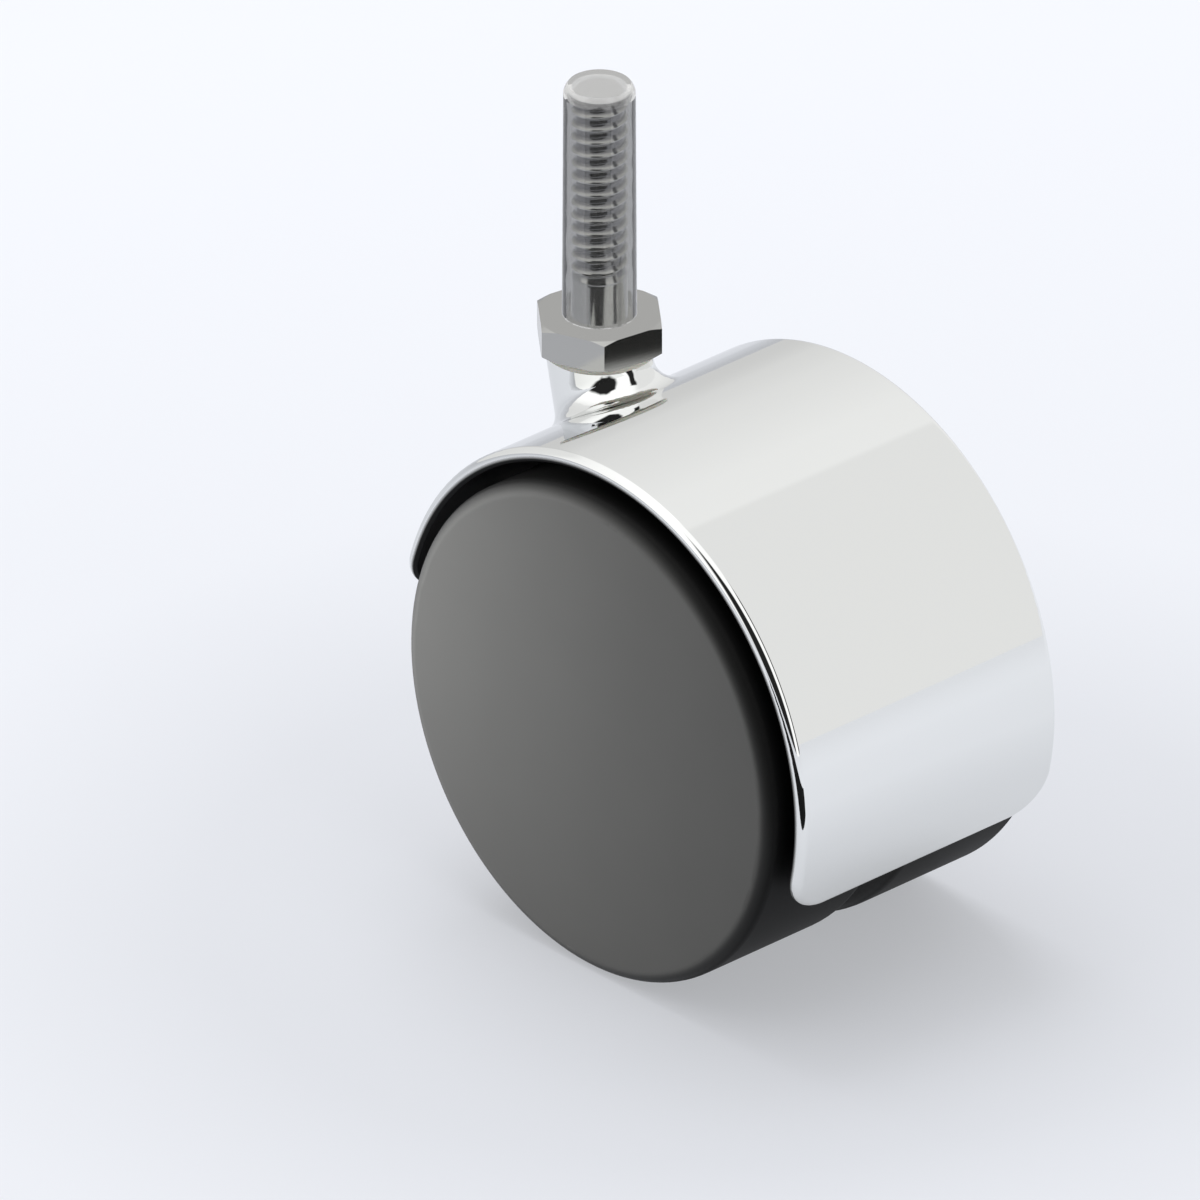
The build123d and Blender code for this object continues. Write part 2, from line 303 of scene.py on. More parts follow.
STEEL = "#B9BABB"
STEEL_ROUGHNESS = 0.3
DRAW_LINE_MM = 0.25             # drawing lines, coarser than the real ones so that they show
DRAW_LINE_STRETCH = 0.04        # along the bar
DRAW_LINE_HEIGHT = 0.02 * MM
DRAW_LINE_STRENGTH = 0.25


def bright_steel():
    """Drawn steel bar: fine lines along its length and a soft shine."""
    material, output = new_material("drawn_bright_steel")
    place = add_node(material, "ShaderNodeTexCoord")
    stretch = add_node(
        material, "ShaderNodeMapping", {"Scale": (1, DRAW_LINE_STRETCH, 1)},
        {"Vector": place.outputs["Object"]},
    )
    lines = add_node(
        material, "ShaderNodeTexNoise", {"Scale": 1 / (DRAW_LINE_MM * MM), "Detail": 2.0},
        {"Vector": stretch.outputs[0]},
    )
    bump = add_node(
        material, "ShaderNodeBump",
        {"Strength": DRAW_LINE_STRENGTH, "Distance": DRAW_LINE_HEIGHT},
        {"Height": lines.outputs["Fac"]},
    )
    steel = add_node(
        material, "ShaderNodeBsdfPrincipled",
        {"Base Color": linear(STEEL), "Metallic": 1.0, "Roughness": STEEL_ROUGHNESS},
        {"Normal": bump.outputs[0]},
    )
    return finish_material(material, output, steel)


drawn_steel = bright_steel()
smooth_copy("axle_bar", "axle_pin", drawn_steel)
for side in ("left", "right"):
    smooth_copy("washer_" + side, "axle_washer_" + side, drawn_steel)

# ---- wheels ----
# Each is one moulding in dark grey nylon with a satin, spark-eroded skin. Face, edge and tread are
# the same material. The tread is duller where it rolls, and its shade is painted on it as a
# near-black grey.

WHEEL_GREY = "#474746"
WHEEL_MOTTLE = "#4A4A49"
TREAD_PAINTED_SHADE = "#121212"
WHEEL_ROUGHNESS = 0.42
TREAD_ROUGHNESS = 0.57
WHEEL_SPECULAR = 0.12
NYLON_IOR = 1.53
MOULD_GRAIN_MM = 0.35           # coarser than the real grain, so that it shows
MOULD_GRAIN_HEIGHT = 0.02 * MM
MOULD_GRAIN_STRENGTH = 0.3
MOTTLE_MM = 14.0
TREAD_FROM = wheel_radius - 0.25 * MM
DULLING_WIDTH = 0.3 * MM
DARKENING_WIDTH = 1.6 * MM


def grey_nylon():
    """Moulded nylon: satin, with fine grain and a faint mottle, duller on the tread, with painted
    shade there.
    """
    material, output = new_material("moulded_grey_nylon")
    place, distance = axle_distance(material)
    mottle = add_node(
        material, "ShaderNodeTexNoise", {"Scale": 1 / (MOTTLE_MM * MM), "Detail": 2.0},
        {"Vector": place.outputs["Object"]},
    )
    tint = add_node(
        material, "ShaderNodeMix",
        {"data_type": "RGBA", "blend_type": "MIX", 6: linear(WHEEL_GREY), 7: linear(WHEEL_MOTTLE)},
        {0: mottle.outputs["Fac"]},
    )
    grain = add_node(
        material, "ShaderNodeTexNoise",
        {"Scale": 1 / (MOULD_GRAIN_MM * MM), "Detail": 3.0, "Roughness": 0.6},
        {"Vector": place.outputs["Object"]},
    )
    bump = add_node(
        material, "ShaderNodeBump",
        {"Strength": MOULD_GRAIN_STRENGTH, "Distance": MOULD_GRAIN_HEIGHT},
        {"Height": grain.outputs["Fac"]},
    )
    rolled = add_node(
        material, "ShaderNodeMapRange",
        {
            "From Min": TREAD_FROM - DULLING_WIDTH, "From Max": TREAD_FROM,
            "To Min": WHEEL_ROUGHNESS, "To Max": TREAD_ROUGHNESS,
        },
        {"Value": distance.outputs["Value"]},
    )
    # painted shade: the colour darkens to near-black towards the tread
    tread_shade_mask = add_node(
        material, "ShaderNodeMapRange",
        {"From Min": TREAD_FROM - DARKENING_WIDTH, "From Max": TREAD_FROM},
        {"Value": distance.outputs["Value"]},
    )
    colour = add_node(
        material, "ShaderNodeMix",
        {"data_type": "RGBA", "blend_type": "MIX", 7: linear(TREAD_PAINTED_SHADE)},
        {0: tread_shade_mask.outputs[0], 6: tint.outputs[2]},
    )
    nylon = add_node(
        material, "ShaderNodeBsdfPrincipled",
        {"IOR": NYLON_IOR, "Specular IOR Level": WHEEL_SPECULAR},
        {
            "Base Color": colour.outputs[2], "Roughness": rolled.outputs[0],
            "Normal": bump.outputs[0],
        },
    )
    return finish_material(material, output, nylon)


nylon_grey = grey_nylon()
for side in ("left", "right"):
    smooth_copy("wheel_moulding_" + side, "wheel_" + side, nylon_grey)

# ---- bushes ----
# Natural nylon sleeves, moulded and pressed in: one in the neck, with a flange under the collar,
# and one in each wheel's hub.

NATURAL_NYLON = "#DAD7CB"
NATURAL_NYLON_CLOUD = "#E2E0D6"
NATURAL_NYLON_ROUGHNESS = 0.4
NYLON_CLOUD_MM = 3.0
WAXY_SHARE = 0.2
WAXY_DEPTH = 0.5 * MM


def natural_nylon():
    """Unpigmented nylon: off-white, waxy and slightly see-through at its edges."""
    material, output = new_material("natural_nylon_moulding")
    place = add_node(material, "ShaderNodeTexCoord")
    cloud = add_node(
        material, "ShaderNodeTexNoise", {"Scale": 1 / (NYLON_CLOUD_MM * MM), "Detail": 2.0},
        {"Vector": place.outputs["Object"]},
    )
    tint = add_node(
        material, "ShaderNodeMix",
        {"data_type": "RGBA", 6: linear(NATURAL_NYLON), 7: linear(NATURAL_NYLON_CLOUD)},
        {0: cloud.outputs["Fac"]},
    )
    nylon = add_node(
        material, "ShaderNodeBsdfPrincipled",
        {
            "Roughness": NATURAL_NYLON_ROUGHNESS, "IOR": NYLON_IOR,
            "Subsurface Weight": WAXY_SHARE, "Subsurface Scale": WAXY_DEPTH,
        },
        {"Base Color": tint.outputs[2]},
    )
    return finish_material(material, output, nylon)


nylon_natural = natural_nylon()
smooth_copy("neck_bush", "stem_bush", nylon_natural)
for side in ("left", "right"):
    smooth_copy("hub_sleeve_" + side, "hub_bush_" + side, nylon_natural)

# ---- spring rings and thrust disc ----
# Hardened spring steel with a thin film of oil. The rings are wound or stamped and snap into their
# grooves, and the disc lies in the neck under the journal. All of them are inside.

SPRING_STEEL = "#6B6C71"
OIL_FILM_MM = 2.0
OILED_SHINE = (0.25, 0.45)      # roughness where the film is thick and thin


def spring_steel():
    """Oiled spring steel: dark, blue-grey and half bright."""
    material, output = new_material("oiled_spring_steel")
    place = add_node(material, "ShaderNodeTexCoord")
    film = add_node(
        material, "ShaderNodeTexNoise", {"Scale": 1 / (OIL_FILM_MM * MM), "Detail": 3.0},
        {"Vector": place.outputs["Object"]},
    )
    shine = add_node(
        material, "ShaderNodeMapRange", {"To Min": OILED_SHINE[0], "To Max": OILED_SHINE[1]},
        {"Value": film.outputs["Fac"]},
    )
    steel = add_node(
        material, "ShaderNodeBsdfPrincipled",
        {"Base Color": linear(SPRING_STEEL), "Metallic": 1.0},
        {"Roughness": shine.outputs[0]},
    )
    return finish_material(material, output, steel)


oiled_steel = spring_steel()
smooth_copy("stem_spring_ring", "stem_snap_ring", oiled_steel)
smooth_copy("thrust_plate", "thrust_disc", oiled_steel)
for side in ("left", "right"):
    smooth_copy("axle_spring_ring_" + side, "axle_snap_ring_" + side, oiled_steel)

# ---- stem: collar, journal and thread ----
# One bar of hexagon steel, turned, threaded and bright nickel plated. The collar and journal keep
# the solid's form, and the shank carries a right-hand thread that runs out above a plain root.

STEM_RADIUS = 4.0 * MM
STEM_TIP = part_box("threaded_stem")[1].z
TIP_CHAMFER = 0.8 * MM
THREAD_PITCH = 2.07 * MM        # coarser than a standard M8 thread
THREAD_DEPTH = 0.60 * MM
FLANK_TOP = 0.44                # from the middle of the root to the crest, in pitches
FLANK_WIDTH = 0.20              # from crest to root, in pitches
FLANK_CURVE = 1.3               # how softly the flank runs into the root
THREAD_START = 6.2 * MM         # plain root above the collar
THREAD_FADE = 2.0 * MM
SHANK_FOOT = -2.0 * MM          # inside the collar
STEPS_ROUND = 64                # faces in one turn
STEPS_ACROSS = 10               # faces across one pitch
THREAD_WELD = 0.004 * MM
THREAD_CREASE = 50.0            # degrees
COLLAR_CREASE = 20.0            # degrees
SHANK_ABOVE = 1.0 * MM          # what the thread takes the place of, clear of the collar's top

PLATE = "#ADADAB"
PLATE_ROUGHNESS = 0.11
ROOT_PAINTED_SHADE = "#7A7A7C"         # painted shade: the thread's root is a darker grey
ROOT_TOP = STEM_RADIUS - 0.45 * MM
CREST_FROM = STEM_RADIUS - 0.15 * MM
TOOL_MARK_MM = 0.3
TOOL_MARK_STRETCH = 0.15        # round the stem
TOOL_MARK_HEIGHT = 0.01 * MM
TOOL_MARK_STRENGTH = 0.15


def plated_steel():
    """Bright nickel plate on turned steel, with fine tool marks round it and painted shade in the
    thread's root.
    """
    material, output = new_material("plated_turned_steel")
    place = add_node(material, "ShaderNodeTexCoord")
    squeeze = add_node(
        material, "ShaderNodeMapping", {"Scale": (TOOL_MARK_STRETCH, TOOL_MARK_STRETCH, 1)},
        {"Vector": place.outputs["Object"]},
    )
    marks = add_node(
        material, "ShaderNodeTexNoise", {"Scale": 1 / (TOOL_MARK_MM * MM), "Detail": 2.0},
        {"Vector": squeeze.outputs[0]},
    )
    bump = add_node(
        material, "ShaderNodeBump",
        {"Strength": TOOL_MARK_STRENGTH, "Distance": TOOL_MARK_HEIGHT},
        {"Height": marks.outputs["Fac"]},
    )
    flat = add_node(
        material, "ShaderNodeVectorMath",
        {"operation": "MULTIPLY", 1: (1, 1, 0)}, {0: place.outputs["Object"]},
    )
    from_axis = add_node(
        material, "ShaderNodeVectorMath", {"operation": "LENGTH"}, {0: flat.outputs[0]}
    )
    crest = add_node(
        material, "ShaderNodeMapRange",
        {"From Min": ROOT_TOP, "From Max": CREST_FROM},
        {"Value": from_axis.outputs["Value"]},
    )
    rise = add_node(material, "ShaderNodeSeparateXYZ", None, {0: place.outputs["Object"]})
    uncut = add_node(
        material, "ShaderNodeMath", {"operation": "LESS_THAN", 1: THREAD_START},
        {0: rise.outputs["Z"]},
    )
    # painted shade in the thread's root; the crest and the plain shank keep the plate's colour
    bright = add_node(
        material, "ShaderNodeMath", {"operation": "MAXIMUM"},
        {0: crest.outputs[0], 1: uncut.outputs[0]},
    )
    colour = add_node(
        material, "ShaderNodeMix",
        {"data_type": "RGBA", "blend_type": "MIX", 6: linear(ROOT_PAINTED_SHADE), 7: linear(PLATE)},
        {0: bright.outputs[0]},
    )
    plate = add_node(
        material, "ShaderNodeBsdfPrincipled",
        {"Metallic": 1.0, "Roughness": PLATE_ROUGHNESS},
        {"Normal": bump.outputs[0], "Base Color": colour.outputs[2]},
    )
    return finish_material(material, output, plate)


def thread_tree():
    """Nodes that wind a strip one pitch wide round the stem, with a wide root and steep flanks."""
    tree = bpy.data.node_groups.new("stem_thread", "GeometryNodeTree")
    sizes = {
        "Pitch": THREAD_PITCH, "Depth": THREAD_DEPTH, "Radius": STEM_RADIUS,
        "Thread start": THREAD_START, "Fade": THREAD_FADE, "Foot": SHANK_FOOT,
        "Tip": STEM_TIP, "Chamfer": TIP_CHAMFER,
    }
    for name, value in sizes.items():
        socket = tree.interface.new_socket(name, in_out="INPUT", socket_type="NodeSocketFloat")
        socket.default_value = value
    tree.interface.new_socket("Material", in_out="INPUT", socket_type="NodeSocketMaterial")
    tree.interface.new_socket("Geometry", in_out="OUTPUT", socket_type="NodeSocketGeometry")
    given = add_node(tree, "NodeGroupInput").outputs

    turns = int((STEM_TIP + STEM_RADIUS - SHANK_FOOT) / THREAD_PITCH) + 3
    grid = add_node(tree, "GeometryNodeMeshGrid", {
        "Size X": turns, "Vertices X": turns * STEPS_ROUND + 1,
        "Size Y": 1.0, "Vertices Y": STEPS_ACROSS + 1,
    })
    where = add_node(tree, "GeometryNodeInputPosition")
    split = add_node(tree, "ShaderNodeSeparateXYZ", None, {0: where.outputs[0]})

    # each line is one sum: its name, what it does, and the values that it takes
    sums = (
        # the winding starts two turns below the foot, where it is drawn in to a point
        ("turn", "ADD", "strip length", turns / 2),
        ("across", "ADD", "strip width", 0.5),
        ("lead", "SUBTRACT", "across", 2.0),
        ("pitches up", "ADD", "turn", "lead"),
        ("rise", "MULTIPLY", "pitches up", "Pitch"),
        ("height", "ADD", "rise", "Foot"),
        # a flat crest an eighth of the pitch wide, short flanks and a wide root
        ("off middle", "SUBTRACT", "across", 0.5),
        ("from root", "ABSOLUTE", "off middle"),
        ("to crest", "SUBTRACT", FLANK_TOP, "from root"),
        ("flank", "MULTIPLY", "to crest", 1 / FLANK_WIDTH),
        ("below crest", "MAXIMUM", "flank", 0.0),
        ("cut", "MINIMUM", "below crest", 1.0),
        ("left standing", "SUBTRACT", 1.0, "cut"),
        ("flank curve", "POWER", "left standing", FLANK_CURVE),
        ("profile", "SUBTRACT", 1.0, "flank curve"),
        # the cut deepens above the plain root
        ("above start", "SUBTRACT", "height", "Thread start"),
        ("run-out", "DIVIDE", "above start", "Fade"),
        ("started", "MAXIMUM", "run-out", 0.0),
        ("fade", "MINIMUM", "started", 1.0),
        ("faded profile", "MULTIPLY", "profile", "fade"),
        ("cut depth", "MULTIPLY", "faded profile", "Depth"),
        ("cut radius", "SUBTRACT", "Radius", "cut depth"),
        # the tip: a chamfer, then the flat end, both closed towards the middle
        ("to tip", "SUBTRACT", "Tip", "height"),
        ("tip radius", "SUBTRACT", "Radius", "Chamfer"),
        ("bevel", "ADD", "tip radius", "to tip"),
        ("bevelled", "MINIMUM", "cut radius", "bevel"),
        ("top radius", "MAXIMUM", "bevelled", 0.0),
        # the foot, closed in the same way inside the collar
        ("from foot", "SUBTRACT", "height", "Foot"),
        ("foot bevel", "ADD", "Radius", "from foot"),
        ("foot radius", "MAXIMUM", "foot bevel", 0.0),
        ("radius", "MINIMUM", "top radius", "foot radius"),
        # the place of each point
        ("above foot", "MAXIMUM", "height", "Foot"),
        ("level", "MINIMUM", "above foot", "Tip"),
        ("angle", "MULTIPLY", "turn", 2 * pi),
        ("cosine", "COSINE", "angle"),
        ("sine", "SINE", "angle"),
        ("right", "MULTIPLY", "radius", "cosine"),
        ("back", "MULTIPLY", "radius", "sine"),
    )
    known = {name: given[name] for name in sizes}
    known["strip length"], known["strip width"] = split.outputs[0], split.outputs[1]
    for name, operation, *terms in sums:
        numbers = {place: term for place, term in enumerate(terms) if not isinstance(term, str)}
        sources = {place: known[term] for place, term in enumerate(terms) if isinstance(term, str)}
        step = add_node(tree, "ShaderNodeMath", {"operation": operation, **numbers}, sources)
        known[name] = step.outputs[0]

    join = add_node(
        tree, "ShaderNodeCombineXYZ", None,
        {0: known["right"], 1: known["back"], 2: known["level"]},
    )
    wind = add_node(
        tree, "GeometryNodeSetPosition", None,
        {"Geometry": grid.outputs["Mesh"], "Position": join.outputs[0]},
    )
    weld = add_node(
        tree, "GeometryNodeMergeByDistance", {"Distance": THREAD_WELD},
        {"Geometry": wind.outputs[0]},
    )
    real = add_node(tree, "GeometryNodeRealizeInstances", None, {0: weld.outputs[0]})
    paint = add_node(
        tree, "GeometryNodeSetMaterial", None,
        {"Geometry": real.outputs[0], "Material": given["Material"]},
    )
    add_node(tree, "NodeGroupOutput", None, {"Geometry": paint.outputs[0]})
    return tree, sizes


def mesh_from_tree(name, tree, values):
    """Runs a geometry tree on an empty mesh and keeps its result as a plain piece."""
    piece = bpy.data.objects.new(name, bpy.data.meshes.new(name))
    bpy.context.scene.collection.objects.link(piece)
    modifier = piece.modifiers.new("tree", "NODES")
    modifier.node_group = tree
    for item in tree.interface.items_tree:
        if item.item_type == "SOCKET" and item.in_out == "INPUT" and item.name in values:
            modifier[item.identifier] = values[item.name]
    evaluated = piece.evaluated_get(bpy.context.evaluated_depsgraph_get())
    mesh = bpy.data.meshes.new_from_object(evaluated)
    piece.modifiers.clear()
    piece.data = mesh
    mesh.name = name
    return piece


def tidy_surface(piece, crease):
    """Drops faces with no area, turns the rest outwards and shades them smooth."""
    work = bmesh.new()
    work.from_mesh(piece.data)
    bmesh.ops.dissolve_degenerate(work, edges=work.edges, dist=WELD / 2)
    bmesh.ops.recalc_face_normals(work, faces=work.faces)
    for face in work.faces:
        face.smooth = True
    for edge in work.edges:
        edge.smooth = edge.calc_face_angle(0) < radians(crease) if edge.is_manifold else False
    work.to_mesh(piece.data)
    work.free()


stem_plate = plated_steel()
tree, thread_sizes = thread_tree()
thread = mesh_from_tree("stem_thread", tree, {**thread_sizes, "Material": stem_plate})
tidy_surface(thread, THREAD_CREASE)
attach(thread, "stem")
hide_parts("threaded_stem")

collar = smooth_copy(
    "stem_collar_and_journal", "threaded_stem", stem_plate, COLLAR_CREASE
)
work = bmesh.new()
work.from_mesh(collar.data)
for vertex in work.verts:
    if vertex.co.z > SHANK_ABOVE:   # the plain shank gives way to the cut thread
        vertex.co = Vector((0, 0, SHANK_FOOT))
bmesh.ops.remove_doubles(work, verts=work.verts, dist=WELD)
bmesh.ops.recalc_face_normals(work, faces=work.faces)
work.to_mesh(collar.data)
work.free()

# ---- thread protector ----
# A thin translucent cap, moulded in polyethylene and pushed over the thread down to the collar.
# Faint rings on its wall come from the thread that it is stretched over.

CAP_TINT = "#E2E2E1"
CAP_HAZE = 0.05
POLYETHYLENE_IOR = 1.5
CAP_SMOKE = 320.0               # how fast the wall soaks up light, for each metre of it
SMOKE_GREY = (0.5, 0.5, 0.5, 1.0)
CAP_END_FROM = 35.0 * MM        # the closed end is milkier
CAP_END_TO = 35.7 * MM
CAP_CLEARNESS = (0.93, 0.6)     # of the wall and of the closed end
CAP_RING_MM = 1.6
CAP_RING_STRETCH = 0.12         # round the wall
CAP_RING_HEIGHT = 0.03 * MM
CAP_RING_STRENGTH = 0.2


def clear_polyethylene():
    """Translucent moulding: light passes through, with a milky skin and a soft shine."""
    material, output = new_material("translucent_polyethylene")
    place = add_node(material, "ShaderNodeTexCoord")
    squeeze = add_node(
        material, "ShaderNodeMapping", {"Scale": (CAP_RING_STRETCH, CAP_RING_STRETCH, 1)},
        {"Vector": place.outputs["Object"]},
    )
    rings = add_node(
        material, "ShaderNodeTexNoise", {"Scale": 1 / (CAP_RING_MM * MM), "Detail": 3.0},
        {"Vector": squeeze.outputs[0]},
    )
    bump = add_node(
        material, "ShaderNodeBump", {"Strength": CAP_RING_STRENGTH, "Distance": CAP_RING_HEIGHT},
        {"Height": rings.outputs["Fac"]},
    )
    rise = add_node(material, "ShaderNodeSeparateXYZ", None, {0: place.outputs["Object"]})
    clearness = add_node(
        material, "ShaderNodeMapRange",
        {
            "From Min": CAP_END_FROM, "From Max": CAP_END_TO,
            "To Min": CAP_CLEARNESS[0], "To Max": CAP_CLEARNESS[1],
        },
        {"Value": rise.outputs["Z"]},
    )
    clear = add_node(
        material, "ShaderNodeBsdfPrincipled",
        {"Base Color": linear(CAP_TINT), "Roughness": CAP_HAZE, "IOR": POLYETHYLENE_IOR},
        {"Normal": bump.outputs[0], "Transmission Weight": clearness.outputs[0]},
    )
    smoke = add_node(
        material, "ShaderNodeVolumeAbsorption",
        {"Color": SMOKE_GREY, "Density": CAP_SMOKE},
    )
    material.node_tree.links.new(smoke.outputs[0], output.inputs["Volume"])
    return finish_material(material, output, clear)


cap = smooth_copy("thread_cap", "thread_protector", clear_polyethylene())

# ---- floor, backdrop and light ----
# A pale floor, its glow dimmed round the castor as a painted soft shadow, under an even white
# studio. The world lights the castor from all round, with a dark room behind the camera and a dark
# flag at the right, which chrome needs to show its form.

BACKDROP = "#F6F7FB"
FLOOR = "#97999F"
FLOOR_ROUGHNESS = 0.85
FLOOR_SPECULAR = 0.2
FLOOR_GLOW = "#F4F6FA"
# how strongly the floor glows, by the distance in millimetres from the point under the axle; the
# lower glow near the castor is a painted soft shadow
GLOW_AND_PAINTED_SHADOW_LEVELS = ((0, 0.44), (75, 0.43), (125, 0.52), (280, 0.57), (900, 0.57))
DIM_FROM = -360 * MM            # the floor ends in the dark at the far left, outside the frame
DIM_TO = -260 * MM
DIM_LEVEL = 0.75
MIRROR_DIM_FROM = -180 * MM     # mirrors see the left side of the floor dimmer still
MIRROR_DIM_TO = -20 * MM
MIRROR_DIM = 0.6
FLOOR_HALF = 3.0


def draw_curve(node, points):
    """Sets a curve node to straight runs between points."""
    curve = node.mapping.curves[0]
    while len(curve.points) < len(points):
        curve.points.new(0.5, 0.5)
    for handle, (across, up) in zip(curve.points, points):
        handle.location = (across, up)
        handle.handle_type = "VECTOR"
    node.mapping.update()


def pale_floor():
    """Matt painted floor; eyes, mirrors and clear pieces see its glow, which lights nothing and is
    dimmer round the castor as a painted shadow.
    """
    material, output = new_material("pale_floor")
    place = add_node(material, "ShaderNodeTexCoord")
    flat = add_node(
        material, "ShaderNodeVectorMath",
        {"operation": "MULTIPLY", 1: (1, 1, 0)}, {0: place.outputs["Object"]},
    )
    reach = add_node(
        material, "ShaderNodeVectorMath",
        {"operation": "DISTANCE", 1: (axle_place[0], 0, 0)}, {0: flat.outputs[0]},
    )
    paint = add_node(
        material, "ShaderNodeBsdfPrincipled",
        {
            "Base Color": linear(FLOOR), "Roughness": FLOOR_ROUGHNESS,
            "Specular IOR Level": FLOOR_SPECULAR,
        },
    )
    share = add_node(
        material, "ShaderNodeMath", {"operation": "DIVIDE", 1: GLOW_AND_PAINTED_SHADOW_LEVELS[-1][0] * MM},
        {0: reach.outputs["Value"]},
    )
    # painted shadow: the glow is lowest near the castor and rises further out
    glow_with_painted_shadow = add_node(material, "ShaderNodeFloatCurve", None, {"Value": share.outputs[0]})
    draw_curve(glow_with_painted_shadow, [(far / GLOW_AND_PAINTED_SHADOW_LEVELS[-1][0], glow) for far, glow in GLOW_AND_PAINTED_SHADOW_LEVELS])
    across = add_node(material, "ShaderNodeSeparateXYZ", None, {0: place.outputs["Object"]})
    dim = add_node(
        material, "ShaderNodeMapRange",
        {"From Min": DIM_FROM, "From Max": DIM_TO, "To Min": DIM_LEVEL},
        {"Value": across.outputs["X"]},
    )
    path = add_node(material, "ShaderNodeLightPath")
    mirror_dim = add_node(
        material, "ShaderNodeMapRange",
        {"From Min": MIRROR_DIM_FROM, "From Max": MIRROR_DIM_TO, "To Min": MIRROR_DIM},
        {"Value": across.outputs["X"]},
    )
    by_ray = add_node(
        material, "ShaderNodeMix", {"data_type": "FLOAT", 2: 1.0},
        {0: path.outputs["Is Glossy Ray"], 3: mirror_dim.outputs[0]},
    )
    glow_there = add_node(
        material, "ShaderNodeMath", {"operation": "MULTIPLY"},
        {0: glow_with_painted_shadow.outputs[0], 1: dim.outputs[0]},
    )
    glow_here = add_node(
        material, "ShaderNodeMath", {"operation": "MULTIPLY"},
        {0: glow_there.outputs[0], 1: by_ray.outputs[0]},
    )
    eyes = add_node(
        material, "ShaderNodeMath", {"operation": "MAXIMUM"},
        {0: path.outputs["Is Camera Ray"], 1: path.outputs["Is Glossy Ray"]},
    )
    seen = add_node(
        material, "ShaderNodeMath", {"operation": "MAXIMUM"},
        {0: eyes.outputs[0], 1: path.outputs["Is Transmission Ray"]},
    )
    strength = add_node(
        material, "ShaderNodeMath", {"operation": "MULTIPLY"},
        {0: seen.outputs[0], 1: glow_here.outputs[0]},
    )
    glow = add_node(
        material, "ShaderNodeEmission", {"Color": linear(FLOOR_GLOW)},
        {"Strength": strength.outputs[0]},
    )
    both = add_node(
        material, "ShaderNodeAddShader", None, {0: paint.outputs[0], 1: glow.outputs[0]}
    )
    return finish_material(material, output, both)


floor_mesh = bpy.data.meshes.new("floor")
floor_height = wheel_low.z
floor_corners = ((-1, -1), (1, -1), (1, 1), (-1, 1))
floor_mesh.from_pydata(
    [(x * FLOOR_HALF, y * FLOOR_HALF, floor_height) for x, y in floor_corners],
    [], [(0, 1, 2, 3)],
)
floor_mesh.materials.append(pale_floor())
floor = bpy.data.objects.new("floor", floor_mesh)
bpy.context.scene.collection.objects.link(floor)

# a black card on the floor in front, beyond the frame, for the polished pieces to mirror
CARD_CORNERS_MM = ((0, -198), (161, -25), (260, -25), (260, -400), (0, -400))
CARD_BLACK = "#0C0C0D"
CARD_ROUGHNESS = 0.9
CARD_SPECULAR = 0.1
CARD_HEIGHT = 1 * MM            # above the floor
card_mesh = bpy.data.meshes.new("black_card")
card_mesh.from_pydata(
    [(x * MM, y * MM, floor_height + CARD_HEIGHT) for x, y in CARD_CORNERS_MM],
    [], [(0, 4, 3, 2, 1)],
)
card_black, card_output = new_material("black_card")
card_matt = add_node(
    card_black, "ShaderNodeBsdfPrincipled",
    {
        "Base Color": linear(CARD_BLACK), "Roughness": CARD_ROUGHNESS,
        "Specular IOR Level": CARD_SPECULAR,
    },
)
card_mesh.materials.append(finish_material(card_black, card_output, card_matt))
card = bpy.data.objects.new("black_card", card_mesh)
bpy.context.scene.collection.objects.link(card)
card.visible_camera = False
card.visible_diffuse = False
card.visible_shadow = False

world = bpy.data.worlds.new("studio")
world.use_nodes = True
world.node_tree.nodes.clear()
bpy.context.scene.world = world

looking = add_node(world, "ShaderNodeTexCoord")
direction = add_node(world, "ShaderNodeSeparateXYZ", None, {0: looking.outputs["Generated"]})

STUDIO_WHITE = (1.0, 1.0, 0.995, 1.0)
# how bright the studio is, by how far a direction points to the right (-1 to 1)
STUDIO_LEVELS = (
    (-1.0, 0.60), (-0.80, 0.66), (-0.75, 0.78), (-0.65, 0.85), (-0.49, 0.90), (-0.30, 0.95),
    (-0.09, 0.96), (-0.06, 0.885), (1.0, 0.885),
)

# panels all round, dimmer towards the left
sideways = add_node(
    world, "ShaderNodeMapRange", {"From Min": -1.0, "From Max": 1.0},
    {"Value": direction.outputs["X"]},
)
walls = add_node(world, "ShaderNodeFloatCurve", None, {"Value": sideways.outputs[0]})
draw_curve(walls, [(place / 2 + 0.5, glow) for place, glow in STUDIO_LEVELS])
# the near side is brighter, which whitens the rims, and fades to plain towards the far side
NEAR_PANEL = 1.35
NEAR_PANEL_FADE = (0.25, 0.54)
near_side = add_node(
    world, "ShaderNodeMapRange",
    {
        "interpolation_type": "SMOOTHSTEP",
        "From Min": NEAR_PANEL_FADE[0], "From Max": NEAR_PANEL_FADE[1],
        "To Min": NEAR_PANEL, "To Max": 1.0,
    },
    {"Value": direction.outputs["Y"]},
)
panels = add_node(
    world, "ShaderNodeMath", {"operation": "MULTIPLY"},
    {0: walls.outputs[0], 1: near_side.outputs[0]},
)
# the dark room behind the camera and the dark flag at the right; each side is a lower limit, an
# upper limit and the softness of both, in parts of a direction
DARK_LEVEL = 0.02
ROOM_SLANT = -0.2
ROOM_SIDES = ((-0.02, 2.0, 0.10), (-3.0, -0.50, 0.07), (-0.20, 0.82, 0.05))
FLAG_SIDES = ((0.30, 1.0, 0.04), (0.22, 0.44, 0.03), (-0.10, 0.84, 0.03))
slant = add_node(
    world, "ShaderNodeMath", {"operation": "MULTIPLY_ADD", 1: ROOM_SLANT},
    {0: direction.outputs["X"], 2: direction.outputs["Y"]},
)
across, along, upward = (direction.outputs[axis] for axis in "XYZ")


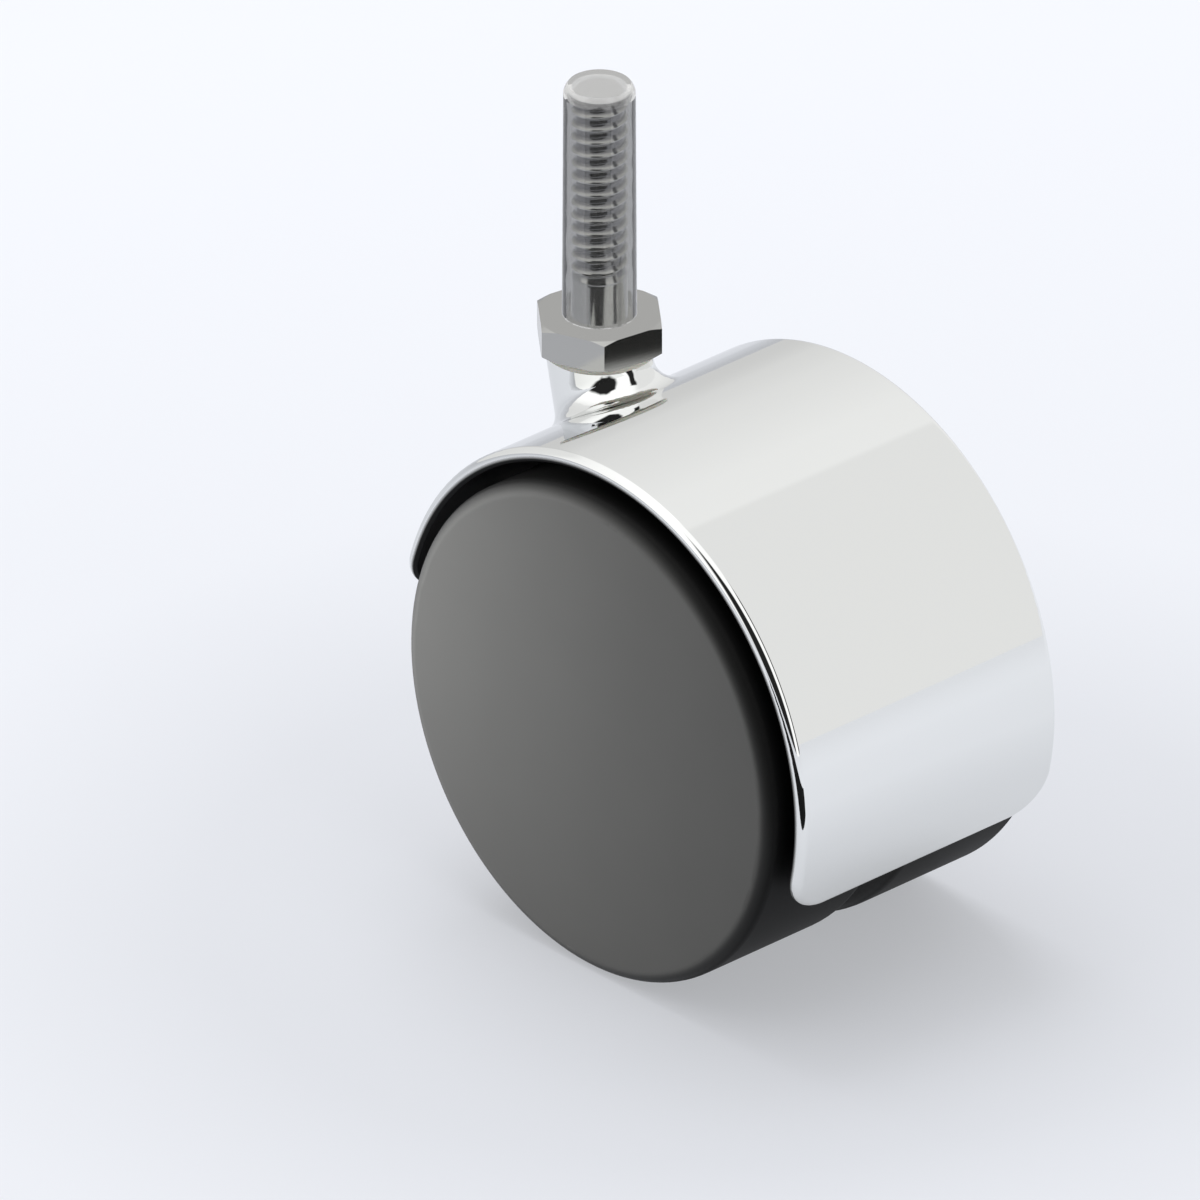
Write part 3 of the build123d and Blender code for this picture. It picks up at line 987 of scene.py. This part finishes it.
def dark_zone(sources, sides):
    """1 inside a box of directions and 0 outside it, with soft sides."""
    inside = None
    for source, (low, high, soft) in zip(sources, sides):
        rise = add_node(
            world, "ShaderNodeMapRange",
            {"interpolation_type": "SMOOTHSTEP", "From Min": low - soft, "From Max": low + soft},
            {"Value": source},
        )
        drop = add_node(
            world, "ShaderNodeMapRange",
            {
                "interpolation_type": "SMOOTHSTEP",
                "From Min": high - soft, "From Max": high + soft,
                "To Min": 1.0, "To Max": 0.0,
            },
            {"Value": source},
        )
        band = add_node(
            world, "ShaderNodeMath", {"operation": "MULTIPLY"},
            {0: rise.outputs[0], 1: drop.outputs[0]},
        )
        inside = band if inside is None else add_node(
            world, "ShaderNodeMath", {"operation": "MULTIPLY"},
            {0: inside.outputs[0], 1: band.outputs[0]},
        )
    return inside


dark_room = dark_zone((across, slant.outputs[0], upward), ROOM_SIDES)
dark_flag = dark_zone((across, along, upward), FLAG_SIDES)
dark = add_node(
    world, "ShaderNodeMath", {"operation": "MAXIMUM"},
    {0: dark_room.outputs[0], 1: dark_flag.outputs[0]},
)
level = add_node(
    world, "ShaderNodeMix", {"data_type": "FLOAT", 3: DARK_LEVEL},
    {0: dark.outputs[0], 2: panels.outputs[0]},
)
path = add_node(world, "ShaderNodeLightPath")
studio = add_node(
    world, "ShaderNodeBackground", {"Color": STUDIO_WHITE}, {"Strength": level.outputs[0]}
)
backdrop = add_node(world, "ShaderNodeBackground", {"Color": linear(BACKDROP), "Strength": 1.0})
seen = add_node(
    world, "ShaderNodeMixShader", None,
    {0: path.outputs["Is Camera Ray"], 1: studio.outputs[0], 2: backdrop.outputs[0]},
)
add_node(world, "ShaderNodeOutputWorld", None, {"Surface": seen.outputs[0]})


def area_light(name, place, target, size, power):
    """A square soft box that looks at a point and that mirrors don't show."""
    lamp = bpy.data.lights.new(name, "AREA")
    lamp.size = size
    lamp.energy = power
    holder = bpy.data.objects.new(name, lamp)
    bpy.context.scene.collection.objects.link(holder)
    holder.location = place
    aim_at = Vector(target) - Vector(place)
    holder.rotation_mode = "QUATERNION"
    holder.rotation_quaternion = aim_at.to_track_quat("-Z", "Y")
    holder.visible_glossy = False
    return holder


for piece in (thread, cap, collar):
    piece.visible_glossy = False    # the hood stays clear of the stem's mirror image

area_light("top_box", place=(-0.25, 0.1, 0.7), target=(0.02, 0, -0.05), size=0.5, power=3.0)

# a small box low at the left, close enough to fall off across the wheels' faces
side_box = area_light(
    "side_box", place=(-0.066, -0.090, -0.02), target=(0.01, -0.027, -0.045),
    size=0.05, power=0.33,
)
wheels_only = bpy.data.collections.new("lit_from_the_side")
for side in ("left", "right"):
    wheels_only.objects.link(bpy.data.objects["wheel_moulding_" + side])
side_box.light_linking.receiver_collection = wheels_only
